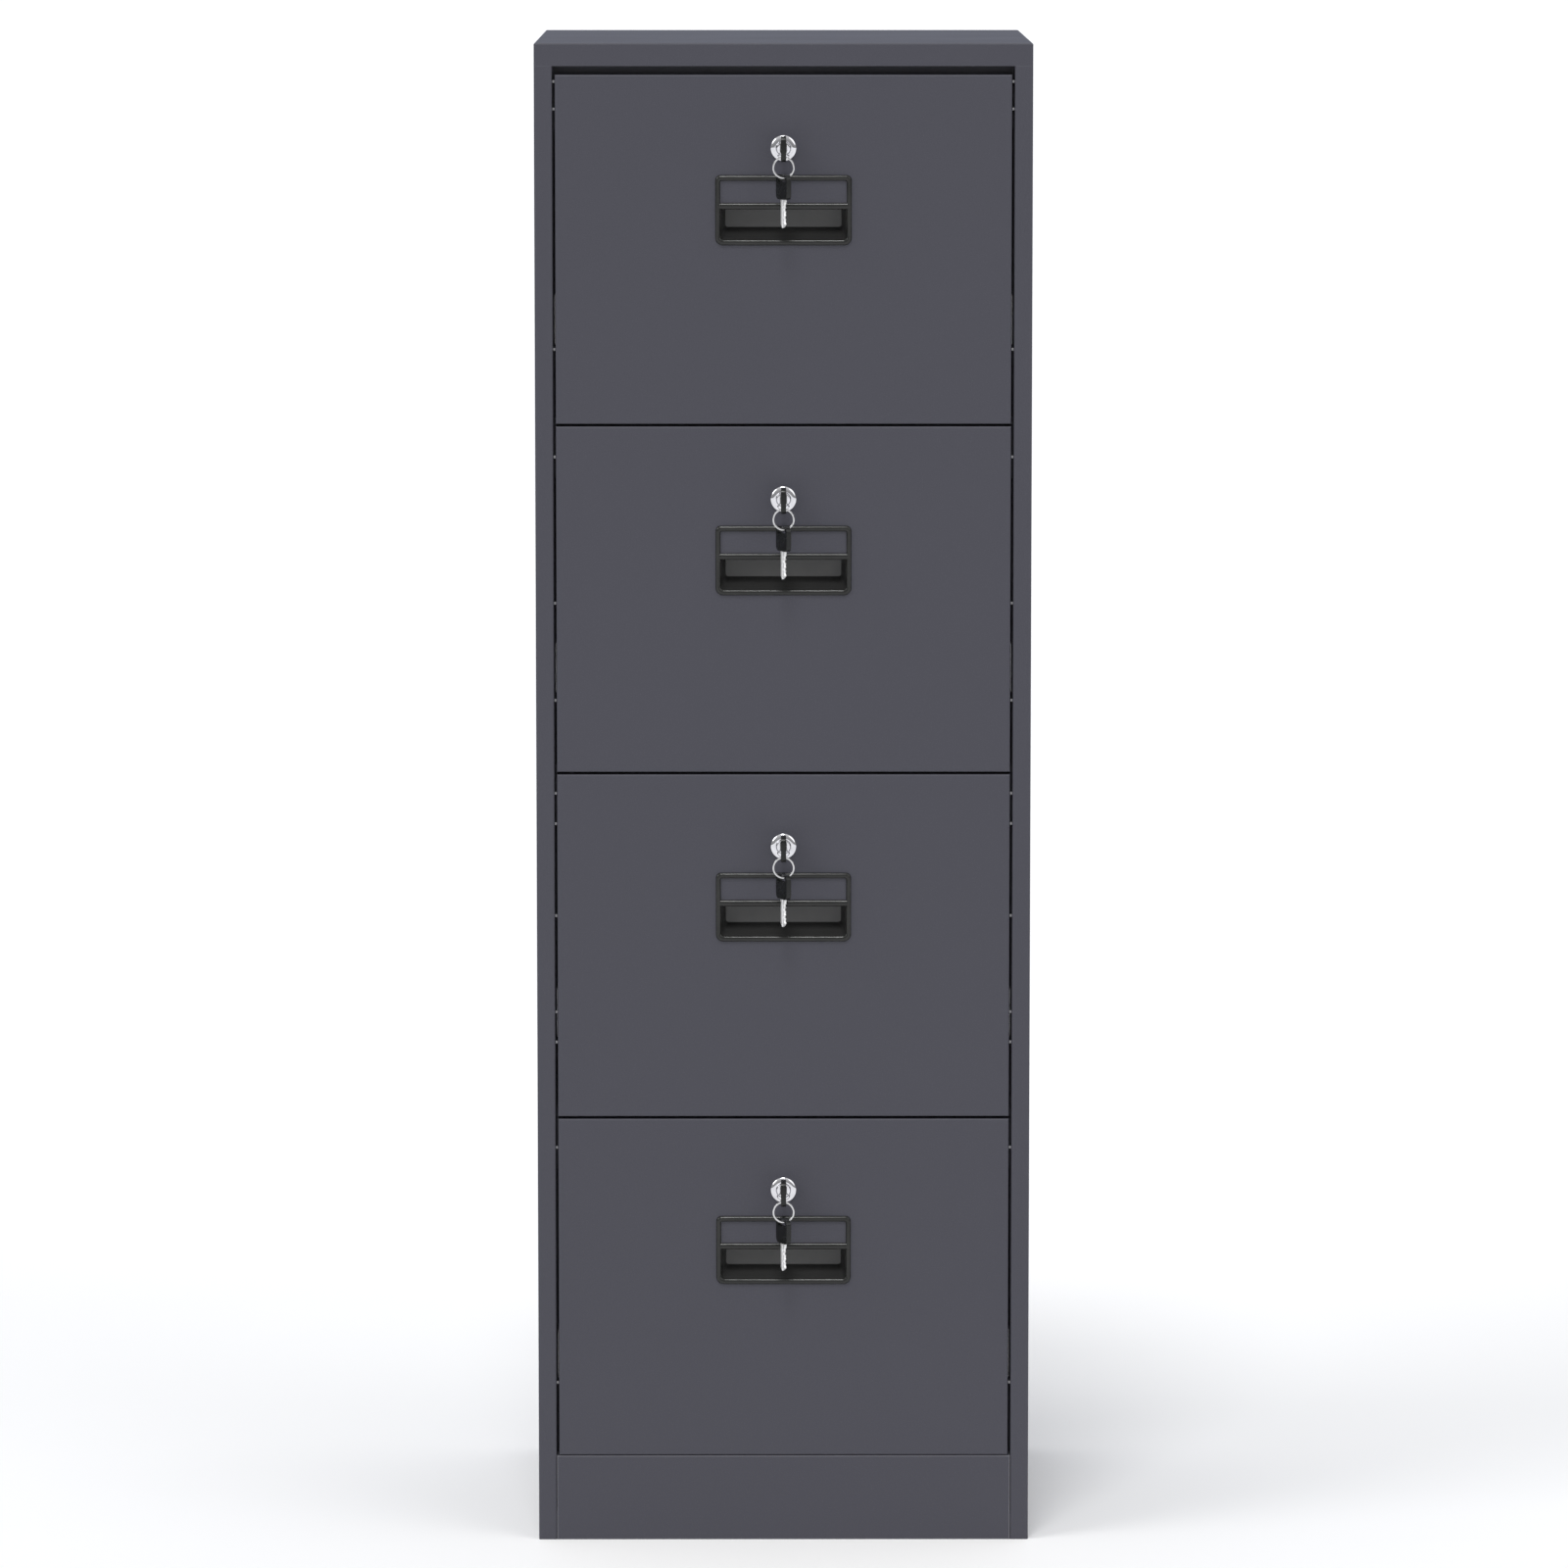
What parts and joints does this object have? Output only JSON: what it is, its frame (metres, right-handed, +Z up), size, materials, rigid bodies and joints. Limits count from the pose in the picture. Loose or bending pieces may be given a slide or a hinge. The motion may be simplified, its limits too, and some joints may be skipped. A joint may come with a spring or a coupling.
{
  "type": "filing cabinet",
  "caption": "Tall narrow steel filing cabinet with stacked full-width drawers on ball-bearing slides, recessed card-frame handles, and a cam lock with keys on each drawer.",
  "frame": {"origin": "on the floor under the centre of the case", "axes": "+Z up, -Y towards the front that the drawers open to, +X to the right seen from the front"},
  "size_m": [0.436, 0.4366, 1.33],
  "materials": {
    "body_paint": "anthracite grey fine-texture powder coat",
    "slide_steel": "bright zinc plate",
    "lock_chrome": "polished chrome plate",
    "key_steel": "nickel-plated steel",
    "black_plastic": "satin black moulded plastic"
  },
  "bodies": {
    "cabinet": {"left_side_panel": "body_paint", "right_side_panel": "body_paint", "top_panel": "body_paint", "back_panel": "body_paint", "bottom_panel": "body_paint", "plinth": "body_paint", "base_frame": "body_paint", "uprights": "body_paint", "lock_rails": "body_paint", "slide_outers_left": "slide_steel", "slide_outers_right": "slide_steel", "back_screws": "slide_steel"},
    "drawer_1": {"drawer_1_front": "body_paint", "drawer_1_body": "body_paint", "drawer_1_file_rails": "slide_steel", "drawer_1_slide_inners": "slide_steel", "drawer_1_handle": "black_plastic", "drawer_1_lock_barrel": "lock_chrome"},
    "slides_1": {"drawer_1_slide_middles": "slide_steel"},
    "lock_1": {"drawer_1_lock_plug": "lock_chrome", "drawer_1_lock_cam": "slide_steel", "drawer_1_key": "black_plastic"},
    "ring_1": {"drawer_1_key_ring": "key_steel"},
    "spare_key_1": {"drawer_1_spare_key": "black_plastic"},
    "drawer_2": {"drawer_2_front": "body_paint", "drawer_2_body": "body_paint", "drawer_2_file_rails": "slide_steel", "drawer_2_slide_inners": "slide_steel", "drawer_2_handle": "black_plastic", "drawer_2_lock_barrel": "lock_chrome"},
    "slides_2": {"drawer_2_slide_middles": "slide_steel"},
    "lock_2": {"drawer_2_lock_plug": "lock_chrome", "drawer_2_lock_cam": "slide_steel", "drawer_2_key": "black_plastic"},
    "ring_2": {"drawer_2_key_ring": "key_steel"},
    "spare_key_2": {"drawer_2_spare_key": "black_plastic"},
    "drawer_3": {"drawer_3_front": "body_paint", "drawer_3_body": "body_paint", "drawer_3_file_rails": "slide_steel", "drawer_3_slide_inners": "slide_steel", "drawer_3_handle": "black_plastic", "drawer_3_lock_barrel": "lock_chrome"},
    "slides_3": {"drawer_3_slide_middles": "slide_steel"},
    "lock_3": {"drawer_3_lock_plug": "lock_chrome", "drawer_3_lock_cam": "slide_steel", "drawer_3_key": "black_plastic"},
    "ring_3": {"drawer_3_key_ring": "key_steel"},
    "spare_key_3": {"drawer_3_spare_key": "black_plastic"},
    "drawer_4": {"drawer_4_front": "body_paint", "drawer_4_body": "body_paint", "drawer_4_file_rails": "slide_steel", "drawer_4_slide_inners": "slide_steel", "drawer_4_handle": "black_plastic", "drawer_4_lock_barrel": "lock_chrome"},
    "slides_4": {"drawer_4_slide_middles": "slide_steel"},
    "lock_4": {"drawer_4_lock_plug": "lock_chrome", "drawer_4_lock_cam": "slide_steel", "drawer_4_key": "black_plastic"},
    "ring_4": {"drawer_4_key_ring": "key_steel"},
    "spare_key_4": {"drawer_4_spare_key": "black_plastic"}
  },
  "joints": [
    {"name": "drawer_1_slide", "type": "slide", "parent": "cabinet", "child": "drawer_1", "axis": [0, -1, 0], "range_m": [0, 0.34]},
    {"name": "drawer_1_slide_middle", "type": "slide", "parent": "cabinet", "child": "slides_1", "axis": [0, -1, 0], "range_m": [0, 0.17]},
    {"name": "drawer_1_lock", "type": "hinge", "parent": "drawer_1", "child": "lock_1", "pos_m": [0, -0.2, 1.2386], "axis": [0, 1, 0], "range_deg": [0, 90]},
    {"name": "drawer_1_key_ring", "type": "hinge", "parent": "lock_1", "child": "ring_1", "pos_m": [0, -0.2241, 1.2316], "axis": [-1, 0, 0], "range_deg": [-8, 80]},
    {"name": "drawer_1_spare_key", "type": "hinge", "parent": "ring_1", "child": "spare_key_1", "pos_m": [0, -0.2241, 1.2137], "axis": [-1, 0, 0], "range_deg": [-8, 80]},
    {"name": "drawer_2_slide", "type": "slide", "parent": "cabinet", "child": "drawer_2", "axis": [0, -1, 0], "range_m": [0, 0.34]},
    {"name": "drawer_2_slide_middle", "type": "slide", "parent": "cabinet", "child": "slides_2", "axis": [0, -1, 0], "range_m": [0, 0.17]},
    {"name": "drawer_2_lock", "type": "hinge", "parent": "drawer_2", "child": "lock_2", "pos_m": [0, -0.2, 0.9311], "axis": [0, 1, 0], "range_deg": [0, 90]},
    {"name": "drawer_2_key_ring", "type": "hinge", "parent": "lock_2", "child": "ring_2", "pos_m": [0, -0.2241, 0.9241], "axis": [-1, 0, 0], "range_deg": [-8, 80]},
    {"name": "drawer_2_spare_key", "type": "hinge", "parent": "ring_2", "child": "spare_key_2", "pos_m": [0, -0.2241, 0.9062], "axis": [-1, 0, 0], "range_deg": [-8, 80]},
    {"name": "drawer_3_slide", "type": "slide", "parent": "cabinet", "child": "drawer_3", "axis": [0, -1, 0], "range_m": [0, 0.34]},
    {"name": "drawer_3_slide_middle", "type": "slide", "parent": "cabinet", "child": "slides_3", "axis": [0, -1, 0], "range_m": [0, 0.17]},
    {"name": "drawer_3_lock", "type": "hinge", "parent": "drawer_3", "child": "lock_3", "pos_m": [0, -0.2, 0.6236], "axis": [0, 1, 0], "range_deg": [0, 90]},
    {"name": "drawer_3_key_ring", "type": "hinge", "parent": "lock_3", "child": "ring_3", "pos_m": [0, -0.2241, 0.6166], "axis": [-1, 0, 0], "range_deg": [-8, 80]},
    {"name": "drawer_3_spare_key", "type": "hinge", "parent": "ring_3", "child": "spare_key_3", "pos_m": [0, -0.2241, 0.5987], "axis": [-1, 0, 0], "range_deg": [-8, 80]},
    {"name": "drawer_4_slide", "type": "slide", "parent": "cabinet", "child": "drawer_4", "axis": [0, -1, 0], "range_m": [0, 0.34]},
    {"name": "drawer_4_slide_middle", "type": "slide", "parent": "cabinet", "child": "slides_4", "axis": [0, -1, 0], "range_m": [0, 0.17]},
    {"name": "drawer_4_lock", "type": "hinge", "parent": "drawer_4", "child": "lock_4", "pos_m": [0, -0.2, 0.3161], "axis": [0, 1, 0], "range_deg": [0, 90]},
    {"name": "drawer_4_key_ring", "type": "hinge", "parent": "lock_4", "child": "ring_4", "pos_m": [0, -0.2241, 0.3091], "axis": [-1, 0, 0], "range_deg": [-8, 80]},
    {"name": "drawer_4_spare_key", "type": "hinge", "parent": "ring_4", "child": "spare_key_4", "pos_m": [0, -0.2241, 0.2912], "axis": [-1, 0, 0], "range_deg": [-8, 80]}
  ],
  "couplings": [
    {"joint": "drawer_1_slide_middle", "follows": "drawer_1_slide", "ratio": 0.5},
    {"joint": "drawer_2_slide_middle", "follows": "drawer_2_slide", "ratio": 0.5},
    {"joint": "drawer_3_slide_middle", "follows": "drawer_3_slide", "ratio": 0.5},
    {"joint": "drawer_4_slide_middle", "follows": "drawer_4_slide", "ratio": 0.5}
  ]
}
